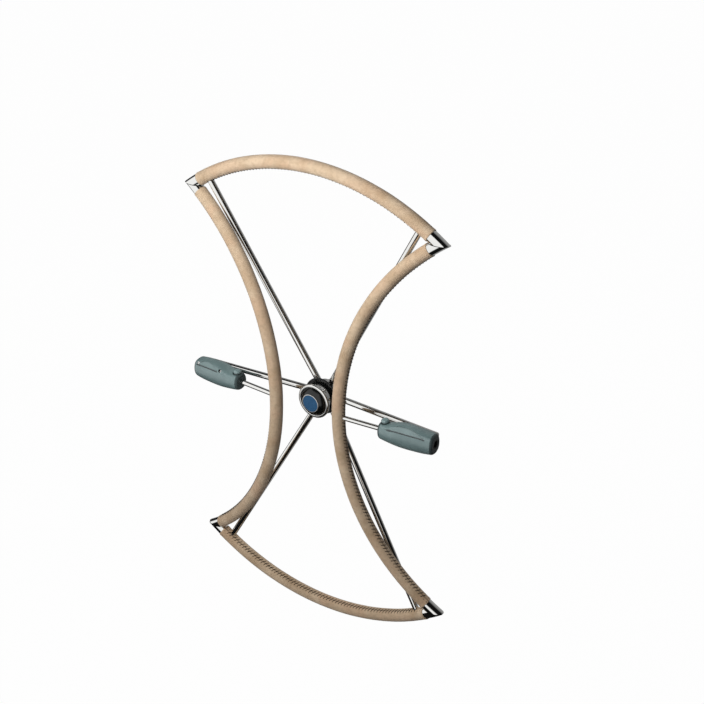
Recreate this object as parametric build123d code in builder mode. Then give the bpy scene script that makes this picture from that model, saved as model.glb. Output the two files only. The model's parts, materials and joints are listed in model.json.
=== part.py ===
from build123d import *
import math
import os

# Folding steering wheel. It turns about Y, with the origin on the shaft's axis at the back face of the hub,
# +Y away from the helmsman and +Z up. Both sides of the rim are hinged at the corners and lie folded in
# front of the spokes. What folds is drawn open, in the true circle, and then turned about its hinge.

# Rim: four arcs of tube under stitched leather, in a plane in front of the hub's back face
wheel_dia = 1016
rim_forward = 58
tube_dia = 25
tube_wall = 1.5
leather_t = 1.05
skin_gap = 0.05
corner_angle = 54.85
fold_travel = 172
leather_stop = 22
socket_stop = 26
spigot_len = 20

# Spokes: straight tubes whose lines meet on the axis behind the rim plane and run out to the rim
spoke_dia = 13
spoke_wall = 1.5
diagonal_angle = 60
hub_depth = 34
spoke_start = 19
weld_gap = 0.03
nose_len = 6
nose_round = 2.3
nose_groove_at = 1.6
nose_groove_width = 1.4
nose_groove_depth = 1.2
nose_hole_dia = 4
nose_hole_depth = 4

# Corner hinges: a pin fixed in the upper or lower arc, a flanged bush in the folding side
pin_dia = 8
pin_depth = 9
bush_dia = 12
bush_flange_dia = 19
bush_flange_t = 1
hinge_gap = 0.1
running_gap = 0.05
fixed_gap = 0.02
edge_break = 0.6

# Hub: keyed bore on a 1 inch shaft, spokes let into its drum, and a dark cover disc on its front spigot
hub_len = 44
hub_spigot_dia = 48
hub_spigot_len = 9
hub_drum_dia = 56
hub_tail_dia = 41
hub_tail_len = 14
shaft_dia = 25.4
key_width = 6.35
key_depth = 3.2
hub_round = 2
cover_dia = 78
cover_t = 5
cover_round = 1.8

# Hand nut in front of the hub: washer, collar with pin holes, front ring, dark cone and a plain round badge
washer_t = 2
washer_dia = 44
nut_thread_dia = 14
nut_thread_len = 15
collar_dia = 60
ring_dia = 74
ring_t = 7
ring_width = 6
nut_len = 21
collar_holes = 12
collar_hole_dia = 4.5
collar_hole_depth = 4
nut_edge = 1
cone_seat = 5
cone_height = 9
cone_swell = 1.5
badge_dia = 36
bezel_width = 1.6
bezel_t = 2.4
bezel_stand = 0.6
badge_t = 1.6

# Lock rod and sliding grip, measured along the rod from the middle of the side rim
rod_dia = 10
rod_inset = 4
grip_start = 95
grip_len = 120
spoke_gap = 2.2
slide_travel = 40
socket_spare = 5
slide_gap = 0.3
guide_gap = 0.08
sleeve_dia = 19
sleeve_start = 21
cap_t = 5
cap_shoulder = (0.6, 0.9)
cap_taper = 3
groove_depth = 0.8
groove_width = 5

# Barrel of the grip: at each share of its length from the inner end, the height above and below the rod
# and the half depth to the front and back
grip_stations = [
    (0, 17.2, 17.8, 16.2),
    (0.1, 18.0, 20.2, 18.0),
    (0.22, 19.0, 22.4, 19.6),
    (0.31, 22.4, 23.7, 20.6),
    (0.41, 25.0, 24.6, 21.3),
    (0.51, 25.6, 25.0, 21.4),
    (0.65, 24.6, 24.8, 21.2),
    (0.79, 23.0, 24.2, 20.6),
    (0.9, 21.2, 23.0, 19.6),
    (1, 19.2, 21.4, 18.2),
]
section_fullness = 0.745

# Scoops pressed into the barrel: start and end as shares of its length, height of the straight lower edge,
# bulge of the upper edge, and how far the flat floor lies from the rod. A fine line runs along the lower edge
scoop_tilt = 37
scoop_long = (0.13, 0.87, -0.5, 14, 20)
scoop_short = (0.42, 0.94, -0.5, 13, 20)
line_width = 1.5
line_depth = 1.3
screw_dia = 5
screw_inset = 5
screw_lift = 4
screw_sink = 6
screw_stand = 0.8
screw_seat_dia = 7
screw_hex = 1.4
screw_hex_depth = 1.8

# Thumb button on top of the grip and the latch plate that it carries round the rod
button_dia = 16.4
button_at = 10.5
button_base = 11
button_top = 25
button_dome = 5
button_travel = 3
button_gap = 0.3
latch_width = 16.2
latch_t = 3.6
latch_bar = 3
spring_dia = 5.2
spring_wire = 0.8
spring_turns = 4
spring_len = 7

# Worked out from the sizes above
rim_r = wheel_dia / 2 - leather_t - skin_gap - tube_dia / 2
tube_r = tube_dia / 2
bore_r = tube_r - tube_wall
leather_in = tube_r + skin_gap
leather_out = leather_in + leather_t
spoke_r = spoke_dia / 2
rod_r = rod_dia / 2
corner_x = rim_r * math.cos(math.radians(corner_angle))
corner_z = rim_r * math.sin(math.radians(corner_angle))
hinge_play = bush_flange_t + 2 * hinge_gap
line_len = math.hypot(rim_r, hub_depth)
mouth_at = grip_start + grip_len
rod_len = mouth_at - rod_inset
spoke_end = mouth_at + spoke_gap
tube_end = line_len - spoke_end - nose_len
socket_r = spoke_r + slide_gap
socket_depth = slide_travel - spoke_gap + socket_spare
latch_low = -rod_r - slide_gap - latch_bar
latch_floor = latch_low - button_travel - button_gap
cap_share = cap_t / grip_len
rim_y = -rim_forward
wheel_axis = Axis((0, rim_y, 0), (0, -1, 0))


def arc_degrees(length):
    """Angle that a length along the rim's centreline covers."""
    return math.degrees(length / rim_r)


def rim_plane(angle):
    """Plane across the rim at an angle above +X, its x axis pointing outwards."""
    turn = math.radians(angle)
    return Plane(
        origin=(rim_r * math.cos(turn), rim_y, rim_r * math.sin(turn)),
        x_dir=(math.cos(turn), 0, math.sin(turn)),
        z_dir=(-math.sin(turn), 0, math.cos(turn)),
    )


def ring_arc(start, end, outer, inner=0):
    """Round bar or tube that follows the rim from one angle to another."""
    with BuildPart() as arc:
        with BuildSketch(rim_plane(start)):
            Circle(outer)
            if inner:
                Circle(inner, mode=Mode.SUBTRACT)
        revolve(axis=wheel_axis, revolution_arc=end - start)
    return arc.part


def spoke_plane(angle, reach):
    """Plane across a spoke at an angle above +X, at a distance along it from the wheel's axis."""
    turn = math.radians(angle)
    line = (rim_r * math.cos(turn), -hub_depth, rim_r * math.sin(turn))
    return Plane(origin=(0, rim_y + hub_depth, 0), z_dir=line).offset(reach)


def spoke_bar(angle, start, end, outer, inner=0):
    """Round bar or tube along a spoke's line."""
    with BuildPart() as bar:
        with BuildSketch(spoke_plane(angle, start)):
            Circle(outer)
            if inner:
                Circle(inner, mode=Mode.SUBTRACT)
        extrude(amount=end - start)
    return bar.part


def twin(shape, about):
    """Mirror image of a finished piece."""
    with BuildPart() as copy:
        mirror(shape, about=about)
    return copy.part


def folded(shape, side=1):
    """A piece drawn open, turned about its hinge to lie folded in front of the spokes."""
    return shape.rotate(Axis((side * corner_x, rim_y, 0), (0, 0, 1)), -side * fold_travel)


pieces = {}

# Upper and lower arcs of the rim, fixed to the spokes
fixed_start = corner_angle + arc_degrees(socket_stop)
fixed_leather = corner_angle + arc_degrees(leather_stop)
pieces["rim_tube_top"] = ring_arc(fixed_start, 180 - fixed_start, tube_r, bore_r)

with BuildPart() as rim_leather_top:
    add(ring_arc(fixed_leather, 180 - fixed_leather, leather_out))
    for angle in (diagonal_angle, 180 - diagonal_angle):
        add(
            spoke_bar(angle, line_len - 2 * leather_out, line_len, spoke_r + slide_gap),
            mode=Mode.SUBTRACT,
        )
    add(ring_arc(fixed_leather, 180 - fixed_leather, leather_in), mode=Mode.SUBTRACT)
pieces["rim_leather_top"] = rim_leather_top.part

for name in ("rim_tube", "rim_leather"):
    pieces[f"{name}_bottom"] = twin(pieces[f"{name}_top"], Plane.XY)

# Folding side arcs
side_start = corner_angle - arc_degrees(socket_stop)
side_leather = corner_angle - arc_degrees(leather_stop)
rod_hole = spoke_bar(0, line_len - 2 * leather_out, line_len, rod_r + weld_gap)
leather_hole = spoke_bar(0, line_len - 2 * leather_out, line_len, rod_r + slide_gap)

with BuildPart() as rim_tube_right:
    add(ring_arc(-side_start, side_start, tube_r, bore_r))
    add(rod_hole, mode=Mode.SUBTRACT)

with BuildPart() as rim_leather_right:
    add(ring_arc(-side_leather, side_leather, leather_out, leather_in))
    add(leather_hole, mode=Mode.SUBTRACT)

# Corner joints, drawn at the upper right: a mitred fitting on each arc, the pin and the flanged bush
hinge_top = Plane((corner_x, rim_y, corner_z + hinge_play / 2))
hinge_low = Plane((corner_x, rim_y, corner_z - hinge_play / 2), x_dir=(1, 0, 0), z_dir=(0, 0, -1))
spigot_r = bore_r - skin_gap
overrun = arc_degrees(2 * tube_dia)

with BuildPart() as corner_fitting:
    add(ring_arc(corner_angle - overrun, fixed_start, tube_r))
    add(ring_arc(corner_angle, fixed_start + arc_degrees(spigot_len), spigot_r))
    split(bisect_by=Plane(hinge_top.origin), keep=Keep.TOP)
    with BuildSketch(hinge_top):
        Circle(pin_dia / 2 + fixed_gap)
    extrude(amount=pin_depth, mode=Mode.SUBTRACT)

with BuildPart() as hinge_fitting:
    add(ring_arc(side_start, corner_angle + overrun, tube_r))
    add(ring_arc(side_start - arc_degrees(spigot_len), corner_angle, spigot_r))
    split(bisect_by=Plane(hinge_low.origin), keep=Keep.BOTTOM)
    with BuildSketch(hinge_low):
        Circle(bush_dia / 2 + fixed_gap)
    extrude(amount=pin_depth, mode=Mode.SUBTRACT)

with BuildPart() as hinge_bush:
    with BuildSketch(hinge_low.offset(-bush_flange_t)):
        Circle(bush_flange_dia / 2)
    extrude(amount=bush_flange_t)
    with BuildSketch(hinge_low):
        Circle(bush_dia / 2)
    extrude(amount=pin_depth - hinge_gap)
    with BuildSketch(hinge_low.offset(-bush_flange_t)):
        Circle(pin_dia / 2 + running_gap)
    extrude(amount=bush_flange_t + pin_depth, mode=Mode.SUBTRACT)
    chamfer(hinge_bush.edges().filter_by(GeomType.CIRCLE).sort_by(Axis.Z)[0:2], edge_break / 2)

with BuildPart() as hinge_pin:
    with BuildSketch(hinge_top.offset(pin_depth)):
        Circle(pin_dia / 2)
    extrude(amount=-(2 * pin_depth + hinge_play - hinge_gap))
    for end_face in (hinge_pin.faces().sort_by(Axis.Z)[0], hinge_pin.faces().sort_by(Axis.Z)[-1]):
        chamfer(end_face.edges(), edge_break)

for height, across in (("upper", None), ("lower", Plane.XY)):
    for name, joint in (("corner_fitting", corner_fitting), ("hinge_pin", hinge_pin)):
        right = twin(joint.part, across) if across else joint.part
        pieces[f"{name}_{height}_right"] = right
        pieces[f"{name}_{height}_left"] = twin(right, Plane.YZ)
    for name, joint in (("hinge_fitting", hinge_fitting), ("hinge_bush", hinge_bush)):
        right = folded(twin(joint.part, across) if across else joint.part)
        pieces[f"{name}_{height}_right"] = right
        pieces[f"{name}_{height}_left"] = twin(right, Plane.YZ)

for name, arc in (("rim_tube", rim_tube_right), ("rim_leather", rim_leather_right)):
    pieces[f"{name}_right"] = folded(arc.part)
    pieces[f"{name}_left"] = twin(pieces[f"{name}_right"], Plane.YZ)

# Diagonal spokes, coped round the rim tube where they are welded to it
with BuildPart() as diagonal_spoke:
    add(spoke_bar(diagonal_angle, spoke_start, line_len, spoke_r, spoke_r - spoke_wall))
    add(
        ring_arc(diagonal_angle - overrun, diagonal_angle + overrun, tube_r + weld_gap),
        mode=Mode.SUBTRACT,
    )
pieces["spoke_upper_right"] = diagonal_spoke.part
pieces["spoke_upper_left"] = twin(diagonal_spoke.part, Plane.YZ)
pieces["spoke_lower_right"] = twin(diagonal_spoke.part, Plane.XY)
pieces["spoke_lower_left"] = twin(pieces["spoke_lower_right"], Plane.YZ)

# Main spokes end free, with a grooved nose that the sliding sleeve finds
pieces["spoke_right"] = spoke_bar(0, spoke_start, tube_end, spoke_r, spoke_r - spoke_wall)
pieces["spoke_left"] = twin(pieces["spoke_right"], Plane.YZ)

nose_end = tube_end + nose_len
groove_start = tube_end + nose_groove_at
with BuildPart() as spoke_plug:
    add(spoke_bar(0, tube_end, nose_end, spoke_r))
    tip = spoke_plane(0, nose_end).origin
    fillet(spoke_plug.faces().sort_by_distance(tip)[0].edges(), nose_round)
    add(spoke_bar(0, tube_end - spoke_dia, tube_end, spoke_r - spoke_wall - skin_gap))
    add(
        spoke_bar(0, groove_start, groove_start + nose_groove_width, spoke_dia, spoke_r - nose_groove_depth),
        mode=Mode.SUBTRACT,
    )
    add(spoke_bar(0, nose_end - nose_hole_depth, nose_end, nose_hole_dia / 2), mode=Mode.SUBTRACT)
pieces["spoke_plug_right"] = spoke_plug.part
pieces["spoke_plug_left"] = twin(spoke_plug.part, Plane.YZ)

# Hub, turned, with a keyed bore and six sockets for the spokes
drum_front = -hub_len + hub_spigot_len
with BuildPart() as hub:
    with BuildSketch(Plane.XY):
        with BuildLine():
            Polyline(
                (shaft_dia / 2, -hub_len),
                (hub_spigot_dia / 2, -hub_len),
                (hub_spigot_dia / 2, drum_front),
                (hub_drum_dia / 2, drum_front),
                (hub_drum_dia / 2, -hub_tail_len),
                (hub_tail_dia / 2, -hub_tail_len),
                (hub_tail_dia / 2, 0),
                (shaft_dia / 2, 0),
                close=True,
            )
        make_face()
    revolve(axis=Axis.Y)
    drum_rims = hub.edges().filter_by(GeomType.CIRCLE).group_by(SortBy.RADIUS)[-1]
    fillet(drum_rims.sort_by(Axis.Y)[-1], hub_round)
    with BuildSketch(Plane((0, 0, 0), x_dir=(-1, 0, 0), z_dir=(0, 1, 0))):
        with Locations((0, shaft_dia / 2)):
            Rectangle(key_width, 2 * key_depth)
    extrude(amount=-hub_len, mode=Mode.SUBTRACT)
    for angle in (0, diagonal_angle, 180 - diagonal_angle, 180, 180 + diagonal_angle, -diagonal_angle):
        add(
            spoke_bar(angle, spoke_start, hub_drum_dia, spoke_r + weld_gap),
            mode=Mode.SUBTRACT,
        )
pieces["hub"] = hub.part

with BuildPart() as spoke_cover:
    with BuildSketch(Plane((0, drum_front, 0), x_dir=(1, 0, 0), z_dir=(0, -1, 0))):
        Circle(cover_dia / 2)
        Circle(hub_spigot_dia / 2 + fixed_gap, mode=Mode.SUBTRACT)
    extrude(amount=cover_t)
    cover_rims = spoke_cover.edges().filter_by(GeomType.CIRCLE).group_by(SortBy.RADIUS)[-1]
    fillet(cover_rims, cover_round)
pieces["spoke_cover"] = spoke_cover.part

with BuildPart() as hub_washer:
    with BuildSketch(Plane((0, -hub_len, 0), x_dir=(1, 0, 0), z_dir=(0, -1, 0))):
        Circle(washer_dia / 2)
        Circle(shaft_dia / 2 + slide_gap, mode=Mode.SUBTRACT)
    extrude(amount=washer_t)
pieces["hub_washer"] = hub_washer.part

# Hand nut: one turned piece with a rolled front ring and a ring of pin holes round its collar
nut_back = -hub_len - washer_t
ring_front = nut_back - nut_len
ring_back = ring_front + ring_t
ring_r = ring_dia / 2
cup_r = ring_r - ring_width
cup_floor = ring_front + cone_seat
with BuildPart() as hub_nut:
    with BuildSketch(Plane.XY):
        with BuildLine():
            Polyline(
                (ring_r - ring_t / 2, ring_back),
                (collar_dia / 2, ring_back),
                (collar_dia / 2, nut_back),
                (nut_thread_dia / 2, nut_back),
                (nut_thread_dia / 2, nut_back - nut_thread_len),
                (0, nut_back - nut_thread_len),
                (0, cup_floor),
                (cup_r, cup_floor),
                (cup_r, ring_front + nut_edge),
            )
            ThreePointArc(
                (cup_r, ring_front + nut_edge),
                (cup_r + 0.3 * nut_edge, ring_front + 0.3 * nut_edge),
                (cup_r + nut_edge, ring_front),
            )
            Line((cup_r + nut_edge, ring_front), (ring_r - ring_t / 2, ring_front))
            ThreePointArc(
                (ring_r - ring_t / 2, ring_front),
                (ring_r, ring_front + ring_t / 2),
                (ring_r - ring_t / 2, ring_back),
            )
        make_face()
    revolve(axis=Axis.Y)
    for count in range(collar_holes):
        turn = math.radians(360 * (count + 0.5) / collar_holes)
        out = Vector(math.cos(turn), 0, math.sin(turn))
        hole_y = (ring_back + nut_back) / 2
        start = out * (collar_dia / 2 - collar_hole_depth) + Vector(0, hole_y, 0)
        with BuildSketch(Plane(start, x_dir=(0, 1, 0), z_dir=out)):
            Circle(collar_hole_dia / 2)
        extrude(amount=2 * collar_hole_depth, mode=Mode.SUBTRACT)
pieces["hub_nut"] = hub_nut.part

# Dark cone pressed into the nut, its flat top carrying the badge and its bezel
cone_front = ring_front - cone_height
badge_floor = cone_front + bezel_t - bezel_stand
badge_r = badge_dia / 2
bezel_r = badge_r + bezel_width
seat_r = bezel_r + fixed_gap
with BuildPart() as hub_cone:
    with BuildSketch(Plane.XY):
        with BuildLine():
            Polyline(
                (0, cup_floor),
                (cup_r - fixed_gap, cup_floor),
                (cup_r - fixed_gap, ring_front + nut_edge),
            )
            Spline(
                (cup_r - fixed_gap, ring_front + nut_edge),
                ((cup_r + seat_r) / 2 + cone_swell, (ring_front + nut_edge + cone_front) / 2),
                (seat_r, cone_front + bezel_stand),
            )
            Polyline(
                (seat_r, cone_front + bezel_stand),
                (seat_r, badge_floor),
                (0, badge_floor),
                (0, cup_floor),
            )
        make_face()
    revolve(axis=Axis.Y)
pieces["hub_cone"] = hub_cone.part

badge_plane = Plane((0, badge_floor, 0), x_dir=(1, 0, 0), z_dir=(0, -1, 0))
with BuildPart() as badge_bezel:
    with BuildSketch(badge_plane):
        Circle(bezel_r)
        Circle(badge_r + fixed_gap, mode=Mode.SUBTRACT)
    extrude(amount=bezel_t)
    fillet(badge_bezel.faces().sort_by(Axis.Y)[0].edges().sort_by(SortBy.LENGTH)[-1], edge_break)
pieces["badge_bezel"] = badge_bezel.part

with BuildPart() as badge:
    with BuildSketch(badge_plane):
        Circle(badge_r)
    extrude(amount=badge_t)
    fillet(badge.faces().sort_by(Axis.Y)[0].edges(), edge_break / 2)
pieces["badge"] = badge.part


def rod_frame(side):
    """Frame of a lock rod with the wheel open: z along the rod from the middle of the side rim, x up."""
    return Plane(origin=(side * rim_r, rim_y, 0), x_dir=(0, 0, 1), z_dir=(-side * rim_r, hub_depth, 0))


def grip_size(share):
    """Heights above and below the rod and half depth at a share of the grip's length."""
    for low, high in zip(grip_stations, grip_stations[1:]):
        if share <= high[0]:
            part = (share - low[0]) / (high[0] - low[0])
            return [a + part * (b - a) for a, b in zip(low[1:], high[1:])]


def grip_outline(frame, share, inset=0):
    """Cross-section of the barrel: a rounded form through eight points."""
    up, down, deep = (value - inset for value in grip_size(share))
    k = section_fullness
    points = [
        (up, 0),
        (up * k, deep * k),
        (0, deep),
        (-down * k, deep * k),
        (-down, 0),
        (-down * k, -deep * k),
        (0, -deep),
        (up * k, -deep * k),
    ]
    with BuildSketch(frame.offset(grip_start + share * grip_len)) as outline:
        with BuildLine():
            Spline(*points, periodic=True)
        make_face()
    return outline.sketch


def scoop_frame(frame, face, floor):
    """Frame of a scoop's flat floor: x along the rod, z outwards, on the front (1) or back (-1) face."""
    tilt = math.radians(scoop_tilt)
    out = frame.x_dir * math.sin(tilt) + frame.y_dir * (face * math.cos(tilt))
    origin = frame.origin + frame.z_dir * grip_start + out * floor
    return Plane(origin=origin, x_dir=frame.z_dir, z_dir=out)


def button_frame(frame):
    """Frame of the thumb button: z up along its travel, from the rod's axis."""
    origin = frame.origin + frame.z_dir * (grip_start + button_at)
    return Plane(origin=origin, x_dir=frame.z_dir, z_dir=frame.x_dir)


def bar_along(frame, start, end, outer, inner=0):
    """Round bar or tube on the rod's axis, its ends measured from the middle of the side rim."""
    with BuildPart() as bar:
        with BuildSketch(frame.offset(start)):
            Circle(outer)
            if inner:
                Circle(inner, mode=Mode.SUBTRACT)
        extrude(amount=end - start)
    return bar.part


def lock_rod(frame):
    """Rod with two latch grooves, one for each end of the slide, and a bevelled tip."""
    latch_at = grip_start + button_at
    with BuildPart() as rod:
        with BuildSketch(frame):
            Circle(rod_r)
        extrude(amount=rod_len)
        for place in (latch_at, latch_at + slide_travel):
            with BuildSketch(frame.offset(place - groove_width / 2)):
                Circle(rod_r)
                Circle(rod_r - groove_depth, mode=Mode.SUBTRACT)
            extrude(amount=groove_width, mode=Mode.SUBTRACT)
        tip = frame.origin + frame.z_dir * rod_len
        chamfer(rod.faces().sort_by_distance(tip)[0].edges(), edge_break)
    return rod.part


def screw_places(frame):
    """Frames of the two screw heads, at the ends of the short scoop's floor."""
    start, end = (share * grip_len for share in scoop_short[:2])
    floor = scoop_frame(frame, -1, scoop_short[4])
    spots = ((start - screw_inset, -screw_lift), (end - screw_inset, -screw_lift))
    places = [floor.from_local_coords((along, lift, 0)) for along, lift in spots]
    return [Plane(place, x_dir=floor.x_dir, z_dir=floor.z_dir) for place in places]


def grip_body(frame):
    """Moulded barrel with its bore, button pocket, latch slot, scoops and screw holes."""
    button_axis = button_frame(frame)
    with BuildPart() as body:
        for share in [cap_share] + [station[0] for station in grip_stations[1:-1]] + [1 - cap_share]:
            add(grip_outline(frame, share))
        loft()
        for face, scoop in ((1, scoop_long), (-1, scoop_short)):
            start, end = (share * grip_len for share in scoop[:2])
            low, bulge, floor = scoop[2:]
            low_edge = low * face
            high_edge = (low + bulge) * face
            with BuildSketch(scoop_frame(frame, face, floor)):
                with BuildLine():
                    Line((start, low_edge), (end, low_edge))
                    ThreePointArc((end, low_edge), ((start + end) / 2, high_edge), (start, low_edge))
                make_face()
            extrude(amount=2 * tube_dia, mode=Mode.SUBTRACT)
            with BuildSketch(scoop_frame(frame, face, floor - line_depth)):
                with Locations(((start + end) / 2, low_edge)):
                    SlotOverall(end - start, line_width)
            extrude(amount=2 * tube_dia, mode=Mode.SUBTRACT)
        add(bar_along(frame, grip_start, mouth_at, rod_r + slide_gap), mode=Mode.SUBTRACT)
        add(
            bar_along(frame, grip_start + sleeve_start, mouth_at, sleeve_dia / 2 + fixed_gap),
            mode=Mode.SUBTRACT,
        )
        with BuildSketch(button_axis.offset(button_base - button_travel - button_gap)):
            Circle(button_dia / 2 + button_gap)
        extrude(amount=button_top, mode=Mode.SUBTRACT)
        with BuildSketch(button_axis.offset(latch_floor)):
            Rectangle(latch_t + 2 * button_gap, latch_width + 2 * button_gap)
        extrude(amount=button_base - latch_floor, mode=Mode.SUBTRACT)
        with BuildSketch(button_axis.offset(latch_low - spring_len)):
            Circle(spring_dia / 2 + button_gap)
        extrude(amount=spring_len, mode=Mode.SUBTRACT)
        for place in screw_places(frame):
            with BuildSketch(place.offset(-screw_sink)):
                Circle(screw_dia / 2 + fixed_gap)
            extrude(amount=screw_sink, mode=Mode.SUBTRACT)
            with BuildSketch(place):
                Circle(screw_seat_dia / 2)
            extrude(amount=2 * tube_dia, mode=Mode.SUBTRACT)
    return body.part


def grip_cap(frame, joint, end, hole):
    """Dark end cap that carries on the barrel's section from their joint and rounds it off."""
    button_axis = button_frame(frame)
    shoulder, inset = cap_shoulder
    sections = [(joint, 0), (joint + shoulder * (end - joint), inset), (end, cap_taper)]
    with BuildPart() as cap:
        for share, cut in sorted(sections):
            add(grip_outline(frame, share, cut))
        loft()
        add(bar_along(frame, grip_start, mouth_at, hole), mode=Mode.SUBTRACT)
        with BuildSketch(button_axis.offset(button_base - button_travel - button_gap)):
            Circle(button_dia / 2 + button_gap)
        extrude(amount=button_top, mode=Mode.SUBTRACT)
    return cap.part


def grip_sleeve(frame):
    """Bearing sleeve inside the grip: guide bore on the rod, then the socket that takes the main spoke."""
    start = grip_start + sleeve_start
    with BuildPart() as sleeve:
        add(bar_along(frame, start, mouth_at, sleeve_dia / 2, rod_r + guide_gap))
        add(bar_along(frame, mouth_at - socket_depth, mouth_at, socket_r), mode=Mode.SUBTRACT)
        mouth = frame.origin + frame.z_dir * mouth_at
        rims = sleeve.edges().filter_by(GeomType.CIRCLE).sort_by_distance(mouth)
        chamfer(rims[0:1], edge_break)
    return sleeve.part


def grip_screws(frame):
    """Two socket screws that hold the barrel on its sleeve."""
    with BuildPart() as screws:
        for place in screw_places(frame):
            with BuildSketch(place.offset(-screw_sink)):
                Circle(screw_dia / 2)
            extrude(amount=screw_sink + screw_stand)
            with BuildSketch(place.offset(screw_stand - screw_hex_depth)):
                RegularPolygon(screw_hex, 6)
            extrude(amount=screw_hex_depth, mode=Mode.SUBTRACT)
    return screws.part


def thumb_button(frame):
    """Round domed button."""
    axis = button_frame(frame)
    with BuildPart() as button:
        with BuildSketch(axis.offset(button_base)):
            Circle(button_dia / 2)
        extrude(amount=button_top - button_base)
        fillet(button.faces().sort_by(Axis.Z)[-1].edges(), button_dome)
    return button.part


def latch_plate(frame):
    """Plate under the button, with a window round the rod and a lower bar that drops clear when pressed."""
    axis = button_frame(frame)
    window_low = -rod_r - slide_gap
    window_high = rod_r + slide_gap + button_travel
    with BuildPart() as plate:
        with BuildSketch(axis.offset(latch_low)):
            Rectangle(latch_t, latch_width)
        extrude(amount=button_base - latch_low)
        with BuildSketch(axis.offset(window_low)):
            Rectangle(latch_t, 2 * (rod_r + slide_gap))
        extrude(amount=window_high - window_low, mode=Mode.SUBTRACT)
    return plate.part


def button_spring(frame):
    """Coil spring between the floor of its pocket and the latch plate."""
    radius = (spring_dia - spring_wire) / 2
    height = spring_len - spring_wire
    with BuildPart() as spring:
        with BuildLine() as coil:
            Helix(
                pitch=height / spring_turns,
                height=height,
                radius=radius,
                center=button_frame(frame).offset(latch_low - spring_len + spring_wire / 2).origin,
                direction=(0, 0, 1),
            )
        with BuildSketch(Plane(origin=coil.line @ 0, z_dir=coil.line % 0)):
            Circle(spring_wire / 2)
        sweep(is_frenet=True)
    return spring.part


for side, hand in ((1, "right"), (-1, "left")):
    frame = rod_frame(side)
    made = {
        "lock_rod": lock_rod(frame),
        "grip_body": grip_body(frame),
        "grip_collar": grip_cap(frame, cap_share, 0, rod_r + guide_gap),
        "grip_mouth": grip_cap(frame, 1 - cap_share, 1, sleeve_dia / 2 + fixed_gap),
        "grip_sleeve": grip_sleeve(frame),
        "grip_screws": grip_screws(frame),
        "thumb_button": thumb_button(frame),
        "latch_plate": latch_plate(frame),
        "button_spring": button_spring(frame),
    }
    for name, shape in made.items():
        pieces[f"{name}_{hand}"] = folded(shape, side)

os.makedirs("parts", exist_ok=True)
for name, shape in pieces.items():
    shape.label = name
    export_step(shape, f"parts/{name}.step")
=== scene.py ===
import json
import math

import bpy
import numpy as np
from mathutils import Matrix, Vector


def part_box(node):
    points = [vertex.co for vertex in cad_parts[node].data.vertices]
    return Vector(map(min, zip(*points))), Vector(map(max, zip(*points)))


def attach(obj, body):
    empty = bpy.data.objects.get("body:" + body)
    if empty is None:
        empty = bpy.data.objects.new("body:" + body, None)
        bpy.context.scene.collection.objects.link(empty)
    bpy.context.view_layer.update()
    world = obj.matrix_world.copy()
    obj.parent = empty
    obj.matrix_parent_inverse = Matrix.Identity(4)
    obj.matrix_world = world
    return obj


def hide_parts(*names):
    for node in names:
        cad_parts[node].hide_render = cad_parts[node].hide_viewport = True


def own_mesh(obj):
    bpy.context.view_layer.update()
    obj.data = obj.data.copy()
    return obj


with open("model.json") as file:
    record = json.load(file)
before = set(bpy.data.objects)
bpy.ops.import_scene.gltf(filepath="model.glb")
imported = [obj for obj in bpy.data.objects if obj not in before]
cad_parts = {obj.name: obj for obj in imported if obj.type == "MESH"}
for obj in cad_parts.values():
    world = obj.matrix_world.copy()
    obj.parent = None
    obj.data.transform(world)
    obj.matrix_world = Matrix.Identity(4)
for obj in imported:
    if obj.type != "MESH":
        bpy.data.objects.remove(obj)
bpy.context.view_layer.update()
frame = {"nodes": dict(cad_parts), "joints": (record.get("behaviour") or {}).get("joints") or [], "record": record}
joints = {joint["name"]: joint for joint in frame["joints"]}
sides = {"right": 1, "left": -1}
mm = 0.001
white = (1, 1, 1, 1)

# The rim's circle and the hinges, read from the frame
skinLow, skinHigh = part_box("rim_leather_top")
rim = {
    "skin": (skinHigh.y - skinLow.y) / 2,  # outer radius of the leather
    "plane": (skinHigh.y + skinLow.y) / 2,
    "hingeX": joints["right_fold"]["pos_m"][0],
    "travel": math.radians(joints["right_fold"]["range_deg"][1]),
}
rim["radius"] = skinHigh.z - rim["skin"]
rim["corner"] = math.acos(rim["hingeX"] / rim["radius"])


def srgb(red, green, blue):
    # a colour given as it looks on screen, 0 to 255, made linear
    value = np.array([red, green, blue]) / 255
    linear = np.where(value < 0.04045, value / 12.92, ((value + 0.055) / 1.055) ** 2.4)
    return (*linear.tolist(), 1)


# Camera, at the angle of the picture
cameraView = {
    "place": (1.4845, -2.0371, 1.3946),
    "heading": 35.15,  # degrees to the left of +Y
    "fall": 27.51,  # degrees below the horizon
    "roll": 0.89,
    "lens": 72.37,
    "sensor": 36,
    "clip": (0.05, 100),
}


def makeCamera(view):
    heading, fall, roll = (math.radians(view[key]) for key in ("heading", "fall", "roll"))
    ahead = Vector((-math.sin(heading) * math.cos(fall), math.cos(heading) * math.cos(fall), -math.sin(fall)))
    across = ahead.cross(Vector((0, 0, 1))).normalized()
    above = across.cross(ahead)
    right = across * math.cos(roll) - above * math.sin(roll)
    up = right.cross(ahead)
    lens = bpy.data.cameras.new("camera")
    lens.lens = view["lens"]
    lens.sensor_width = view["sensor"]
    lens.clip_start, lens.clip_end = view["clip"]
    camera = bpy.data.objects.new("camera", lens)
    turn = Matrix((right, up, -ahead)).transposed().to_4x4()
    camera.matrix_world = Matrix.Translation(view["place"]) @ turn
    bpy.context.scene.collection.objects.link(camera)
    bpy.context.scene.camera = camera


makeCamera(cameraView)
print("camera placed")


# Material helpers. The tree is the node tree that a new node goes into
def newMaterial(name):
    material = bpy.data.materials.new(name)
    material.use_nodes = True
    tree = material.node_tree
    return material, tree, next(node for node in tree.nodes if node.type == "BSDF_PRINCIPLED")


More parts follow.
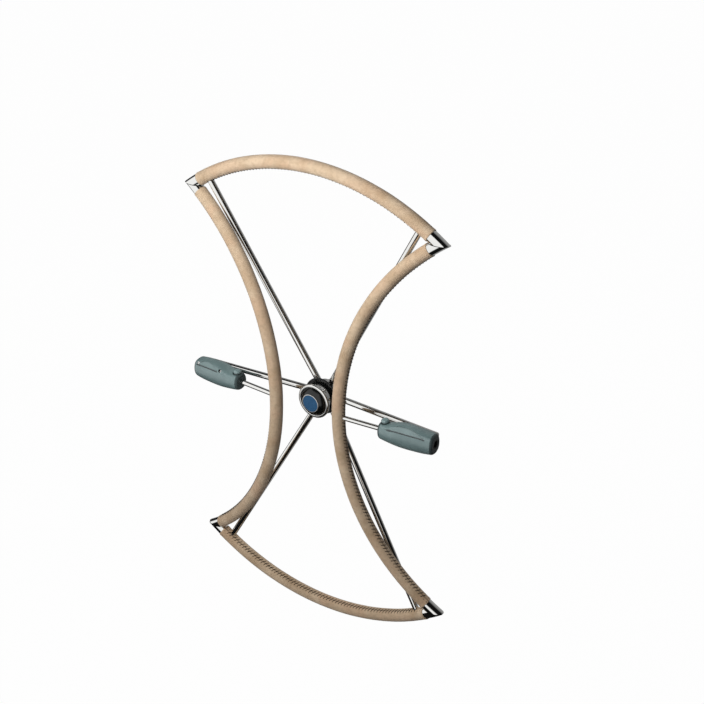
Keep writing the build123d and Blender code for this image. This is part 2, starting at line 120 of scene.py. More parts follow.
def feed(tree, socket, value):
    # another node's output is linked, a plain value is set
    if isinstance(value, bpy.types.NodeSocket):
        tree.links.new(value, socket)
    else:
        socket.default_value = value


def objectPlace(tree):
    return tree.nodes.new("ShaderNodeTexCoord").outputs["Object"]


def split(tree, vector):
    node = tree.nodes.new("ShaderNodeSeparateXYZ")
    feed(tree, node.inputs["Vector"], vector)
    return tuple(node.outputs)


def noise(tree, place, scale, detail, rough=0.5, distortion=0):
    node = tree.nodes.new("ShaderNodeTexNoise")
    names = ("Vector", "Scale", "Detail", "Roughness", "Distortion")
    for name, value in zip(names, (place, scale, detail, rough, distortion)):
        feed(tree, node.inputs[name], value)
    return node.outputs["Fac"]


def remap(tree, value, span, newSpan):
    # the first span stretched onto the second, and held at its ends
    node = tree.nodes.new("ShaderNodeMapRange")
    names = ("Value", "From Min", "From Max", "To Min", "To Max")
    for name, number in zip(names, (value, *span, *newSpan)):
        feed(tree, node.inputs[name], number)
    return node.outputs["Result"]


def mathNode(tree, operation, first, second=0):
    node = tree.nodes.new("ShaderNodeMath")
    node.operation = operation
    feed(tree, node.inputs[0], first)
    feed(tree, node.inputs[1], second)
    return node.outputs[0]


def hypotenuse(tree, first, second):
    # square root of the sum of both squares
    squares = [mathNode(tree, "MULTIPLY", value, value) for value in (first, second)]
    return mathNode(tree, "SQRT", mathNode(tree, "ADD", *squares))


def vectorNode(tree, operation, first, second=(0, 0, 0)):
    node = tree.nodes.new("ShaderNodeVectorMath")
    node.operation = operation
    feed(tree, node.inputs[0], first)
    feed(tree, node.inputs[1], second)
    return node.outputs["Value" if operation in ("DOT_PRODUCT", "LENGTH") else "Vector"]


def mixColours(tree, share, first, second):
    node = tree.nodes.new("ShaderNodeMix")
    node.data_type = "RGBA"
    colourSockets = (6, 7)  # after the factors and the sockets for numbers and vectors
    feed(tree, node.inputs[0], share)
    for index, colour in zip(colourSockets, (first, second)):
        feed(tree, node.inputs[index], colour)
    return node.outputs[2]


def mixShaders(tree, share, first, second):
    node = tree.nodes.new("ShaderNodeMixShader")
    for socket, value in zip(node.inputs, (share, first, second)):
        feed(tree, socket, value)
    return node.outputs[0]


def bump(tree, height, distance, strength, normal=None):
    node = tree.nodes.new("ShaderNodeBump")
    for name, value in zip(("Height", "Distance", "Strength"), (height, distance, strength)):
        feed(tree, node.inputs[name], value)
    if normal:
        feed(tree, node.inputs["Normal"], normal)
    return node.outputs["Normal"]


# Polished stainless: mirror-like, with faint polishing marks that spread the edges of its reflections
steel = {
    "clouds": {"scale": 9, "detail": 4},
    "smear": {"scale": 60, "detail": 5, "rough": 0.6},
    "smearSpan": (0.35, 0.7),
    "polish": {"scale": 1400, "detail": 2},
    "polishStrength": 0.5,
}


def polishedSteel(name, values):
    material, tree, shader = newMaterial(name)
    place = objectPlace(tree)
    shader.inputs["Metallic"].default_value = 1
    clouds = noise(tree, place, **steel["clouds"])
    feed(tree, shader.inputs["Base Color"], mixColours(tree, clouds, values["light"], values["dark"]))
    smear = noise(tree, place, **steel["smear"])
    feed(tree, shader.inputs["Roughness"], remap(tree, smear, steel["smearSpan"], values["roughness"]))
    polish = noise(tree, place, **steel["polish"])
    feed(tree, shader.inputs["Normal"], bump(tree, polish, values["polishMarksAndPaintedShade"], steel["polishStrength"]))
    return material


materials = {
    "polished_steel": polishedSteel("polishedSteel", {
        "light": srgb(244, 243, 240),
        "dark": srgb(231, 231, 228),
        "roughness": (0.03, 0.075),
        "polishMarksAndPaintedShade": 0.00001,
    }),
    "screw_steel": polishedSteel("screwSteel", {
        "light": srgb(240, 240, 238),
        "dark": srgb(222, 223, 222),
        "roughness": (0.12, 0.24),
        "polishMarksAndPaintedShade": 0.00003,
    }),
    "inner_steel": polishedSteel("machinedSteel", {
        "light": srgb(190, 190, 188),
        "dark": srgb(160, 161, 160),
        "roughness": (0.25, 0.4),
        "polishMarksAndPaintedShade": 0.00006,
    }),
}


# Painted shade on a grip: a fine dark line under either scoop and a dark ring in the gap round the thumb button
polishMarksAndPaintedShade = {
    "buttonPlace": 10.5 * mm,  # of the button's middle, from the grip's inner end
    "tilt": math.radians(37),  # of a scoop's floor
    "floor": 19.6 * mm,  # from the rod to the line, square to that floor
    "drop": 0.5 * mm,  # and down along it
    "spans": {1: (23 * mm, 103 * mm), -1: (50.4 * mm, 110 * mm)},  # near and far line, along the rod
    "lineReach": (1.3 * mm, 2.6 * mm),  # full shade up to the first distance, none from the second
    "lineShade": 0.8,
    "gapRadius": 8.6 * mm,
    "gapReach": (0.7 * mm, 2 * mm),
    "gapShade": 0.92,
    # heights above the rod: the gap's shade comes in over the first two and goes out over the last two
    "gapHeights": (5 * mm, 7 * mm, 18 * mm, 20.5 * mm),
}


def gripPaintedShade(hand):
    # a line of painted shade lies at start + axis * along + out * floor - rise * drop,
    # on the near (1) and the far (-1) face
    low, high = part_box("thumb_button_" + hand)
    axis, up = Vector(joints[hand + "_slide"]["axis"]), Vector((0, 0, 1))
    button = Vector(((low.x + high.x) / 2, (low.y + high.y) / 2, 0))
    cos, sin = math.cos(polishMarksAndPaintedShade["tilt"]), math.sin(polishMarksAndPaintedShade["tilt"])
    lines = []
    for face, span in polishMarksAndPaintedShade["spans"].items():
        side = axis.cross(up) * face
        out, rise = up * sin + side * cos, up * cos - side * sin
        start = button - axis * polishMarksAndPaintedShade["buttonPlace"] + out * polishMarksAndPaintedShade["floor"] - rise * polishMarksAndPaintedShade["drop"]
        lines.append(tuple(start + axis * along for along in span))
    return {"lines": lines, "button": button}


def fromLine(tree, place, first, last):
    # distance of place from a straight line between two points
    ahead = (last - first).normalized()
    offset = vectorNode(tree, "SUBTRACT", place, tuple(first))
    along = vectorNode(tree, "DOT_PRODUCT", offset, tuple(ahead))
    along = mathNode(tree, "MAXIMUM", along, 0)
    along = mathNode(tree, "MINIMUM", along, (last - first).length)
    nearest = vectorNode(tree, "MULTIPLY", along, tuple(ahead))
    return vectorNode(tree, "LENGTH", vectorNode(tree, "SUBTRACT", offset, nearest))


def aroundButton(tree, place, button):
    # painted shade, strongest in the gap round the button where it meets the barrel, fading to 0 beside it and
    # up its dome
    level = vectorNode(tree, "MULTIPLY", place, (1, 1, 0))
    radius = vectorNode(tree, "LENGTH", vectorNode(tree, "SUBTRACT", level, tuple(button)))
    away = mathNode(tree, "ABSOLUTE", mathNode(tree, "SUBTRACT", radius, polishMarksAndPaintedShade["gapRadius"]))
    shade = remap(tree, away, polishMarksAndPaintedShade["gapReach"], (polishMarksAndPaintedShade["gapShade"], 0))
    height = split(tree, place)[2]
    rising = remap(tree, height, polishMarksAndPaintedShade["gapHeights"][:2], (0, 1))
    falling = remap(tree, height, polishMarksAndPaintedShade["gapHeights"][2:], (1, 0))
    return mathNode(tree, "MULTIPLY", mathNode(tree, "MULTIPLY", shade, rising), falling)


# Soft moulding of the grips: fine spark texture, slightly uneven tone, a dull sheen, and painted shade in the
# grooves, along a line under either scoop and in the gap round the thumb button
mould = {
    "patches": {"scale": 35, "detail": 4, "rough": 0.6},
    "span": (0.3, 0.7),  # of the noise, for patches and grain
    "grainDetail": 2,
    "grainStrength": 0.6,
    "grooveSamples": 12,
    "grooveSpan": (0.35, 0.9),  # share of the light that gets in, from a groove's floor to open ground
    "grooveShade": 0.92,
}


def moulding(name, values):
    material, tree, shader = newMaterial(name)
    place = objectPlace(tree)
    patches = remap(tree, noise(tree, place, **mould["patches"]), mould["span"], (0, 1))
    ground = mixColours(tree, patches, values["light"], values["dark"])
    if "groove" in values:
        # painted shade: ambient occlusion darkens the grooves, then the lines under the scoops and the gap round
        # the button are darkened too
        closed = tree.nodes.new("ShaderNodeAmbientOcclusion")
        closed.samples = mould["grooveSamples"]
        closed.inputs["Distance"].default_value = values["grooveReach"]
        shades = [remap(tree, closed.outputs["AO"], mould["grooveSpan"], (mould["grooveShade"], 0))]
        for line in values["polishMarksAndPaintedShade"]["lines"]:
            away = fromLine(tree, place, *line)
            shades.append(remap(tree, away, polishMarksAndPaintedShade["lineReach"], (polishMarksAndPaintedShade["lineShade"], 0)))
        shades.append(aroundButton(tree, place, values["polishMarksAndPaintedShade"]["button"]))
        for shade in shades:
            ground = mixColours(tree, shade, ground, values["groove"])
    feed(tree, shader.inputs["Base Color"], ground)
    grain = noise(tree, place, values["grain"], mould["grainDetail"])
    feed(tree, shader.inputs["Roughness"], remap(tree, grain, mould["span"], values["roughness"]))
    feed(tree, shader.inputs["Normal"], bump(tree, grain, values["depth"], mould["grainStrength"]))
    shader.inputs["Specular IOR Level"].default_value = values["gloss"]
    return material


for hand in sides:
    shared = {
        # colour of the painted shade in the grooves, along the lines and round the button
        "groove": srgb(24, 36, 37),
        "grooveReach": 4.5 * mm,
        "polishMarksAndPaintedShade": gripPaintedShade(hand),
    }
    materials["grip_" + hand] = moulding("gripMoulding" + hand.capitalize(), {
        "light": srgb(117, 138, 138),
        "dark": srgb(102, 122, 123),
        "grain": 1600,
        "roughness": (0.26, 0.38),
        "depth": 0.00006,
        "gloss": 0.95,
        **shared,
    })
    materials["button_" + hand] = moulding("buttonMoulding" + hand.capitalize(), {
        # painted highlight: a lighter copy of the grip's colours
        "light": srgb(132, 153, 153),
        "dark": srgb(118, 139, 140),
        "grain": 1900,
        "roughness": (0.24, 0.34),
        "depth": 0.00005,
        "gloss": 1,
        **shared,
    })
materials["grip_end"] = moulding("endMoulding", {
    "light": srgb(76, 88, 89),
    "dark": srgb(60, 70, 71),
    "grain": 1500,
    "roughness": (0.38, 0.5),
    "depth": 0.00008,
    "gloss": 0.4,
})
materials["bush"] = moulding("bearingPlastic", {
    "light": srgb(44, 44, 43),
    "dark": srgb(34, 34, 34),
    "grain": 1200,
    "roughness": (0.45, 0.6),
    "depth": 0.00004,
    "gloss": 0.4,
})


# Lacquered fittings of the hub: a clear coat over a slightly uneven ground
def lacquer(name, values):
    material, tree, shader = newMaterial(name)
    place = objectPlace(tree)
    shade = noise(tree, place, **values["shade"])
    feed(tree, shader.inputs["Base Color"], mixColours(tree, shade, values["light"], values["dark"]))
    dust = noise(tree, place, **values["dust"])
    feed(tree, shader.inputs["Roughness"], remap(tree, dust, values["dustSpan"], values["roughness"]))
    shader.inputs["Metallic"].default_value = values["metallic"]
    shader.inputs["Specular IOR Level"].default_value = values["gloss"]
    shader.inputs["Coat Weight"].default_value = values["coatWeight"]
    shader.inputs["Coat Roughness"].default_value = values["coat"]
    return material


dusty = {"dust": {"scale": 500, "detail": 3}, "dustSpan": (0.35, 0.7)}
materials["cone"] = lacquer("blackLacquer", {
    "light": srgb(18, 20, 20),
    "dark": srgb(8, 9, 9),
    "shade": {"scale": 40, "detail": 5, "rough": 0.6},
    "roughness": (0.16, 0.26),
    "metallic": 0,
    "gloss": 0.4,
    "coatWeight": 0.25,
    "coat": 0.04,
    **dusty,
})
materials["badge"] = lacquer("blueEnamel", {
    "light": srgb(50, 98, 138),
    "dark": srgb(32, 74, 112),
    "shade": {"scale": 260, "detail": 5, "rough": 0.6},
    "roughness": (0.34, 0.46),
    "metallic": 0.2,
    "gloss": 0.25,
    "coatWeight": 0.2,
    "coat": 0.08,
    **dusty,
})

# The seam: a slanted stitch crosses it from a hole on one side to the next hole on the other
seam = {
    "pitch": 8 * mm,
    "holePlace": 5 * mm,  # distance of either row of holes from the seam
    "lean": 6 * mm,
}


# Natural leather: pale with darker, warmer and flecked layers, a fine nap over small creases, and painted
# shade along the seam's groove and in the stitch holes
def tanLeather(name, values):
    material, tree, shader = newMaterial(name)
    place = objectPlace(tree)
    ground = values["pale"]
    for layer in values["layers"]:
        share = remap(tree, noise(tree, place, **layer["noise"]), layer["span"], (0, layer["share"]))
        ground = mixColours(tree, share, ground, layer["colour"])
    sleeveMap = tree.nodes.new("ShaderNodeUVMap")
    sleeveMap.uv_map = "sleeve"
    along, fromSeam = split(tree, sleeveMap.outputs["UV"])[:2]
    # painted shade along the seam's groove
    beside = mathNode(tree, "ABSOLUTE", fromSeam)
    seamShade = remap(tree, beside, values["seamReach"], (values["seamShade"], 0))
    # painted shade in the stitch holes, from the distance to the nearest one: along the seam a zigzag of the
    # pitch, shifted by half the lean, forwards on one side of the seam and backwards on the other
    shift = mathNode(tree, "MULTIPLY", mathNode(tree, "SIGN", fromSeam), seam["lean"] / 2)
    alongHole = mathNode(tree, "PINGPONG", mathNode(tree, "ADD", along, shift), seam["pitch"] / 2)
    acrossHole = mathNode(tree, "SUBTRACT", beside, seam["holePlace"])
    toHole = hypotenuse(tree, alongHole, acrossHole)
    holeShade = remap(tree, toHole, values["holeReach"], (values["holeShade"], 0))
    for shade in (seamShade, holeShade):
        ground = mixColours(tree, shade, ground, values["seam"])
    feed(tree, shader.inputs["Base Color"], ground)
    nap = noise(tree, place, **values["nap"])
    feed(tree, shader.inputs["Roughness"], remap(tree, nap, values["napSpan"], values["roughness"]))
    creases = tree.nodes.new("ShaderNodeTexVoronoi")
    creases.feature = "DISTANCE_TO_EDGE"
    creases.inputs["Scale"].default_value = values["creaseScale"]
    feed(tree, creases.inputs["Vector"], place)
    shallow = remap(tree, creases.outputs["Distance"], values["creaseSpan"], (0, 1))
    pebbled = bump(tree, shallow, values["creaseDepth"], values["creaseStrength"])
    feed(tree, shader.inputs["Normal"], bump(tree, nap, values["napDepth"], values["napStrength"], pebbled))
    shader.inputs["Sheen Weight"].default_value = values["sheen"]
    shader.inputs["Sheen Roughness"].default_value = values["sheenRoughness"]
    shader.inputs["Specular IOR Level"].default_value = values["gloss"]
    return material


materials["leather"] = tanLeather("tanLeather", {
    "pale": srgb(214, 191, 163),
    "layers": (
        {  # darker patches
            "colour": srgb(187, 161, 131),
            "noise": {"scale": 22, "detail": 5, "rough": 0.55, "distortion": 0.4},
            "span": (0.34, 0.66),
            "share": 1,
        },
        {  # warmer patches
            "colour": srgb(207, 173, 143),
            "noise": {"scale": 13, "detail": 4, "rough": 0.6, "distortion": 0.8},
            "span": (0.46, 0.66),
            "share": 0.6,
        },
        {  # flecks
            "colour": srgb(152, 130, 105),
            "noise": {"scale": 150, "detail": 4, "rough": 0.6},
            "span": (0.45, 0.75),
            "share": 0.4,
        },
    ),
    # colour of the painted shade along the seam and in its holes
    "seam": srgb(78, 62, 49),
    "seamReach": (0.4 * mm, 2.2 * mm),
    "seamShade": 0.55,
    "holeReach": (0.7 * mm, 1.5 * mm),
    "holeShade": 0.85,
    "roughness": (0.62, 0.82),
    "nap": {"scale": 1100, "detail": 4, "rough": 0.65},
    "napSpan": (0.3, 0.7),
    "napDepth": 0.00011,
    "napStrength": 0.6,
    "creaseScale": 420,
    "creaseSpan": (0, 0.12),
    "creaseDepth": 0.0001,
    "creaseStrength": 0.35,
    "sheen": 0.25,
    "sheenRoughness": 0.45,
    "gloss": 0.3,
})
materials["thread"] = moulding("waxedThread", {
    "light": srgb(50, 41, 34),
    "dark": srgb(34, 28, 23),
    "grain": 2600,
    "roughness": (0.5, 0.7),
    "depth": 0.00008,
    "gloss": 0.3,
})
print("materials made:", len(materials))

# The CAD nodes keep their shape and take their slot's finish
slots = {part["node"]: part["material_slot"] for part in frame["record"]["subparts"]}
finishes = dict(slots)
for hand in sides:
    finishes["grip_screws_" + hand] = "screw_steel"  # the screws' heads are polished
    finishes["grip_body_" + hand] = "grip_" + hand  # each hand has its own lines of painted shade and ring round the button
    finishes["thumb_button_" + hand] = "button_" + hand
for nodeName, node in frame["nodes"].items():
    node.data.materials.clear()
    node.data.materials.append(materials[finishes[nodeName]])
print("nodes finished:", len(slots))


# Mesh helpers. A grid has rows along and columns around, where the last column meets the first
def gridCells(rows, columns, alongClosed=False):
    # row and column of each cell's four corners. They count on past the last where the grid closes, so that
    # the remainder finds the point and the number itself finds the uv, without a smear where the ends meet
    rowCount = rows if alongClosed else rows - 1
    row, column = np.meshgrid(np.arange(rowCount), np.arange(columns), indexing="ij")
    cornerRow = np.stack([row, row, row + 1, row + 1], axis=-1).reshape(-1, 4)
    cornerColumn = np.stack([column, column + 1, column + 1, column], axis=-1).reshape(-1, 4)
    return cornerRow, cornerColumn


def gridMesh(name, points, alongClosed=False, uv=None):
    # each cell of the grid of points becomes one face; uv is a function of the corners' rows and columns
    rows, columns = points.shape[:2]
    row, column = gridCells(rows, columns, alongClosed)
    faces = row % rows * columns + column % columns
    mesh = bpy.data.meshes.new(name)
    mesh.from_pydata(points.reshape(-1, 3).tolist(), [], faces.tolist())
    if uv is not None:
        layer = mesh.uv_layers.new(name="sleeve")
        layer.data.foreach_set("uv", uv(row.ravel(), column.ravel()).astype(np.float32).ravel())
    return mesh


def finishPiece(mesh, body, finish):
    mesh.validate()
    mesh.polygons.foreach_set("use_smooth", np.ones(len(mesh.polygons), dtype=bool))
    mesh.materials.append(materials[finish])
    piece = bpy.data.objects.new(mesh.name, mesh)
    bpy.context.scene.collection.objects.link(piece)
    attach(piece, body)
    return piece


# Leather sleeves of the rim. The seam runs along the side that faces the hub
leather = {
    "thickness": 1.05 * mm,
    "stop": 22 * mm,  # bare steel between the hinge and the leather
    "step": 1.25 * mm,
    "insideRows": 60,
    "columns": 56,
    "bunching": 1.6,  # above 1 there are more columns by the seam
    "edge": 0.7 * mm,
    "rounding": ((0, 0), (0, 0.5), (0.3, 0.86)),  # rows of an end: share of the edge, share of the thickness
    "seamDepth": 0.55 * mm,
    "seamWidth": 0.55 * mm,
    "lipHeight": 0.22 * mm,
    "lipPlace": 1.5 * mm,
    "lipWidth": 0.8 * mm,
    "lipPull": 0.7,  # how much of the lip a stitch pulls down
    "holeDepth": 0.3 * mm,
    "holeWidth": 1.1 * mm,
    "holeShortness": 3,  # a higher power of the stitches' rhythm makes a dimple shorter along the seam
    "hemWidth": 5 * mm,
    "hemHeight": 0.3 * mm,
    "hemSlope": 0.5 * mm,
    "waviness": 0.09 * mm,
    "waves": ((0.011, 0, 1), (0.019, 2, 2), (0.031, 4, 1)),  # length, phase and turns round the tube
}
thread = {
    "radius": 0.7 * mm,
    "rise": 0.35 * mm,  # of its middle above the leather, between the holes
    "dive": 0.75 * mm,  # of its ends below the leather
    "flatness": 8,
    "rest": 3 * mm,  # it lies on the leather as it is this far from the seam
    "rings": 9,
    "sides": 6,
}


def onRim(along, around, reach):
    # along is the arc length, around the angle round the tube (0 outwards, pi towards the hub), reach the
    # distance from its centreline: (R + reach cos around) in the circle's radius, reach sin around along +Y
    angle = along / rim["radius"]
    ring = rim["radius"] + reach * np.cos(around)
    return np.stack([
        ring * np.cos(angle),
        rim["plane"] + reach * np.sin(around),
        ring * np.sin(angle),
    ], axis=-1)


def fold(points, side):
    # a side arc is worked out open, then turned about its hinge as the frame's rest pose has it
    turn = -side * rim["travel"]
    hinge = np.array([side * rim["hingeX"], rim["plane"]])
    x, y = points[..., 0] - hinge[0], points[..., 1] - hinge[1]
    return np.stack([
        hinge[0] + x * math.cos(turn) - y * math.sin(turn),
        hinge[1] + x * math.sin(turn) + y * math.cos(turn),
        points[..., 2],
    ], axis=-1)


def leatherReach(along, start, end, fromSeam, seed):
    # reach = outer radius + long waves inwards + lips by the seam - seam groove - dimples at the holes + hem
    waves = sum(
        np.sin(along / length + phase + seed + turns * fromSeam / rim["skin"]) / len(leather["waves"])
        for length, phase, turns in leather["waves"]
    )
    beside = np.abs(fromSeam)
    groove = np.exp(-((beside / leather["seamWidth"]) ** 2))
    lip = np.exp(-(((beside - leather["lipPlace"]) / leather["lipWidth"]) ** 2))
    shifted = along - start + np.sign(fromSeam) * seam["lean"] / 2
    pulled = 0.5 + 0.5 * np.cos(2 * math.pi * shifted / seam["pitch"])
    besideHole = (beside - seam["holePlace"]) / leather["holeWidth"]
    hole = np.exp(-(besideHole ** 2)) * pulled ** leather["holeShortness"]
    toEnd = np.minimum(along - start, end - along)
    hem = 1 / (1 + np.exp((toEnd - leather["hemWidth"]) / leather["hemSlope"]))
    return (
        rim["skin"]
        + leather["waviness"] * (waves - 1)
        + leather["lipHeight"] * lip * (1 - leather["lipPull"] * pulled)
        - leather["seamDepth"] * groove
        - leather["holeDepth"] * hole
        + leather["hemHeight"] * hem
    )


def seamTurn(along, start, end, turns):
    # how far the seam has wandered from the side that faces the hub: a smooth step between two angles
    share = np.clip((along - start) / (end - start), 0, 1)
    step = share * share * (3 - 2 * share)
    return np.radians(turns[0] + (turns[1] - turns[0]) * step)


def leatherSleeve(name, node, start, end, turns, body, place, seed):
    # rows run up the first end, along the outside, down the second end and back inside the sleeve
    inner, edge = rim["skin"] - leather["thickness"], leather["edge"]
    outside = np.linspace(start + edge, end - edge, int((end - start) / leather["step"]))
    inside = np.linspace(end - edge, start + edge, leather["insideRows"])
    rows = [(start + share * edge, height) for share, height in leather["rounding"]]
    rows += [(along, 1) for along in outside]
    rows += [(end - share * edge, height) for share, height in reversed(leather["rounding"])]
    rows += [(along, 0) for along in inside]
    along, height = np.array(rows).T[:, :, None]
    fromSeamAngle = np.linspace(-1, 1, leather["columns"] + 1)[None, :-1]
    fromSeamAngle = math.pi * np.sign(fromSeamAngle) * np.abs(fromSeamAngle) ** leather["bunching"]
    fromSeam = fromSeamAngle * rim["skin"]
    reach = inner + height * (leatherReach(along, start, end, fromSeam, seed) - inner)
    turn = math.pi + seamTurn(along, start, end, turns)
    points = place(onRim(along, turn + fromSeamAngle, reach))
    # the uv map holds metres along the sleeve and metres from the seam
    columnPlace = np.append(fromSeam[0], fromSeam[0, 0] + 2 * math.pi * rim["skin"])
    rowPlace = np.append(along[:, 0], along[0, 0]) - start
    mesh = gridMesh(
        name, points, alongClosed=True,
        uv=lambda row, column: np.stack([rowPlace[row], columnPlace[column]], axis=-1),
    )
    piece = finishPiece(mesh, body, "leather")
    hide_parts(node)


def seamStitches(name, start, end, turns, body, place, seed):
    # each stitch is one thread over the seam: it rises from a hole, lies slanted and dives into the next one
    margin = leather["hemWidth"] + seam["lean"]
    first = start + seam["pitch"] * math.ceil(margin / seam["pitch"])
    stitches = np.arange(first, end - margin, seam["pitch"])
    share = np.linspace(0, 1, thread["rings"])[None, :]
    along = stitches[:, None] + seam["lean"] * (share - 0.5)
    fromSeam = seam["holePlace"] * (1 - 2 * share) + 0 * along
    lift = thread["rise"] - (thread["rise"] + thread["dive"]) * np.abs(2 * share - 1) ** thread["flatness"]
    reach = leatherReach(along, start, end, np.full_like(fromSeam, thread["rest"]), seed) + lift
    around = math.pi + seamTurn(along, start, end, turns) + fromSeam / rim["skin"]
    centre = place(onRim(along, around, reach))
    above = place(onRim(along, around, reach + mm)) - centre
    above /= np.linalg.norm(above, axis=-1, keepdims=True)
    ahead = np.gradient(centre, axis=1)
    ahead /= np.linalg.norm(ahead, axis=-1, keepdims=True)
    across = np.cross(ahead, above)
    turn = 2 * math.pi * np.arange(thread["sides"]) / thread["sides"]
    ring = above[..., None, :] * np.cos(turn)[:, None] + across[..., None, :] * np.sin(turn)[:, None]
    points = centre[..., None, :] + thread["radius"] * ring
    # every thread has the same cells, counted on from its own first point, and a cap at either end
    stitchCount, rings, ringSides = points.shape[:3]
    row, column = gridCells(rings, ringSides)
    base = np.arange(stitchCount)[:, None] * rings * ringSides
    quads = (base[..., None] + row * ringSides + column % ringSides).reshape(-1, 4)
    caps = np.concatenate([
        base + np.arange(ringSides)[::-1],
        base + (rings - 1) * ringSides + np.arange(ringSides),
    ])
    mesh = bpy.data.meshes.new(name)
    mesh.from_pydata(points.reshape(-1, 3).tolist(), [], quads.tolist() + caps.tolist())
    finishPiece(mesh, body, "thread")


cornerLength = rim["corner"] * rim["radius"]
halfTurn = math.pi * rim["radius"]
sleeves = {
    "Top": {
        "node": "rim_leather_top",
        "middle": halfTurn / 2,
        "half": halfTurn / 2 - cornerLength - leather["stop"],
        "turns": (12, 12),  # degrees from the hub's side towards the helmsman, at either end
        "body": "wheel_frame",
        "place": lambda points: points,
    },
    "Bottom": {
        "node": "rim_leather_bottom",
        "middle": 1.5 * halfTurn,
        "half": halfTurn / 2 - cornerLength - leather["stop"],
        "turns": (19, 19),
        "body": "wheel_frame",
        "place": lambda points: points,
    },
    "Right": {
        "node": "rim_leather_right",
        "middle": 0,
        "half": cornerLength - leather["stop"],
        "turns": (-16, 6),
        "body": "right_rim",
        "place": lambda points: fold(points, sides["right"]),
    },
    "Left": {
        "node": "rim_leather_left",
        "middle": halfTurn,
        "half": cornerLength - leather["stop"],
        "turns": (4, -20),
        "body": "left_rim",
        "place": lambda points: fold(points, sides["left"]),
    },
}
for seed, (where, values) in enumerate(sleeves.items()):
    start, end = values["middle"] - values["half"], values["middle"] + values["half"]
    rest = (start, end, values["turns"], values["body"], values["place"], seed)
    leatherSleeve("leatherSleeve" + where, values["node"], *rest)
    seamStitches("seamStitches" + where, *rest)
print("leather sleeves and stitches made:", len(sleeves))

# Springs under the thumb buttons: a coil between the floor of its pocket and the latch plate, which shortens
# with the press
spring = {
    "wire": 0.8 * mm,
    "wireEnd": 0.02 * mm,  # radius to which either end of the wire tapers
    "slack": 0.04 * mm,  # height left free at the upper end
    "turns": 4,
    "rings": 97,
    "sides": 10,
}


def coilSpring(hand):
    # the wire's middle runs up a helix round the coil's axis. Outward points away from the axis, ahead along
    # the wire, and beside is their cross product: outward cos turn + beside sin turn is a ring round the wire
    low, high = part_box("button_spring_" + hand)
    wire = spring["wire"] / 2
    radius = (high.x - low.x) / 2 - wire
    angle = np.linspace(0, 2 * math.pi * spring["turns"], spring["rings"])
    climb = (high.z - low.z - 2 * wire - spring["slack"]) / angle[-1]
    outward = np.stack([np.cos(angle), np.sin(angle), 0 * angle], axis=-1)
    ahead = np.stack([-radius * np.sin(angle), radius * np.cos(angle), climb + 0 * angle], axis=-1)
    ahead /= np.linalg.norm(ahead, axis=-1, keepdims=True)
    beside = np.cross(ahead, outward)
    middle = np.array([(low.x + high.x) / 2, (low.y + high.y) / 2, low.z + wire])
    centre = middle + radius * outward + np.stack([0 * angle, 0 * angle, climb * angle], axis=-1)
    turn = (2 * math.pi * np.arange(spring["sides"]) / spring["sides"])[:, None]
    ring = outward[:, None] * np.cos(turn) + beside[:, None] * np.sin(turn)
    thickness = np.full(spring["rings"], wire)
    thickness[[0, -1]] = spring["wireEnd"]
    points = centre[:, None] + thickness[:, None, None] * ring
    mesh = gridMesh("coilSpring" + hand.capitalize(), points)
    piece = finishPiece(mesh, hand + "_grip", "inner_steel")
    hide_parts("button_spring_" + hand)
    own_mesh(piece)


for hand in sides:
    coilSpring(hand)
print("button springs made:", len(sides))


# Studio: pale floor, white background, three soft lamps, and a dark tent that only glossy surfaces see
studio = {
    "floorHeight": -0.68,
    "floorHalf": 30,
    "floorGlow": 0.985,
    "floorShade": 0.5,  # how much of the lamps' light the floor throws back
    "floorRoughness": 0.9,
    "floorGloss": 0.1,
    "background": 1,  # strength of the white that is seen
    "fill": 0.08,  # strength of the white that lights the wheel from all round
    "lamps": {
        "keyLamp": {"place": (-0.05, -0.9, 0.83), "size": 0.9, "power": 12.8},
        "sideLamp": {"place": (-1.2, -1.4, -0.2), "size": 0.9, "power": 4.5},
        "backLamp": {"place": (-0.9, 1.7, 0.9), "size": 1.4, "power": 14},
    },
}


def outputOf(tree):
    # the socket that a material or the world is read from
    return next(node for node in tree.nodes if node.type.startswith("OUTPUT")).inputs["Surface"]


def lightPathWhite(tree, seen, unseen):
    # seen where a camera, glossy or transmission ray arrives, unseen everywhere else
    path = tree.nodes.new("ShaderNodeLightPath")
    share = mathNode(tree, "MAXIMUM", path.outputs["Is Camera Ray"], path.outputs["Is Glossy Ray"])
    share = mathNode(tree, "MAXIMUM", share, path.outputs["Is Transmission Ray"])
    feed(tree, outputOf(tree), mixShaders(tree, share, unseen, seen))


def makeWorld():
    world = bpy.data.worlds.new("studio")
    bpy.context.scene.world = world
    world.use_nodes = True
    tree = world.node_tree
    tree.nodes.clear()
    tree.nodes.new("ShaderNodeOutputWorld")
    backgrounds = []
    for strength in (studio["background"], studio["fill"]):
        background = tree.nodes.new("ShaderNodeBackground")
        background.inputs["Color"].default_value = white
        background.inputs["Strength"].default_value = strength
        backgrounds.append(background.outputs[0])
    lightPathWhite(tree, *backgrounds)


def makeFloor():
    half, height = studio["floorHalf"], studio["floorHeight"]
    corners = [(-half, -half, height), (half, -half, height), (half, half, height), (-half, half, height)]
    mesh = bpy.data.meshes.new("floor")
    mesh.from_pydata(corners, [], [(0, 1, 2, 3)])
    material, tree, shader = newMaterial("paleFloor")
    shader.inputs["Base Color"].default_value = (studio["floorShade"],) * 3 + (1,)
    shader.inputs["Roughness"].default_value = studio["floorRoughness"]
    shader.inputs["Specular IOR Level"].default_value = studio["floorGloss"]
    glow = tree.nodes.new("ShaderNodeEmission")
    glow.inputs["Color"].default_value = white
    glowing = mixShaders(tree, studio["floorGlow"], shader.outputs[0], glow.outputs[0])
    lightPathWhite(tree, glowing, shader.outputs[0])
    mesh.materials.append(material)
    floor = bpy.data.objects.new("floor", mesh)
    bpy.context.scene.collection.objects.link(floor)


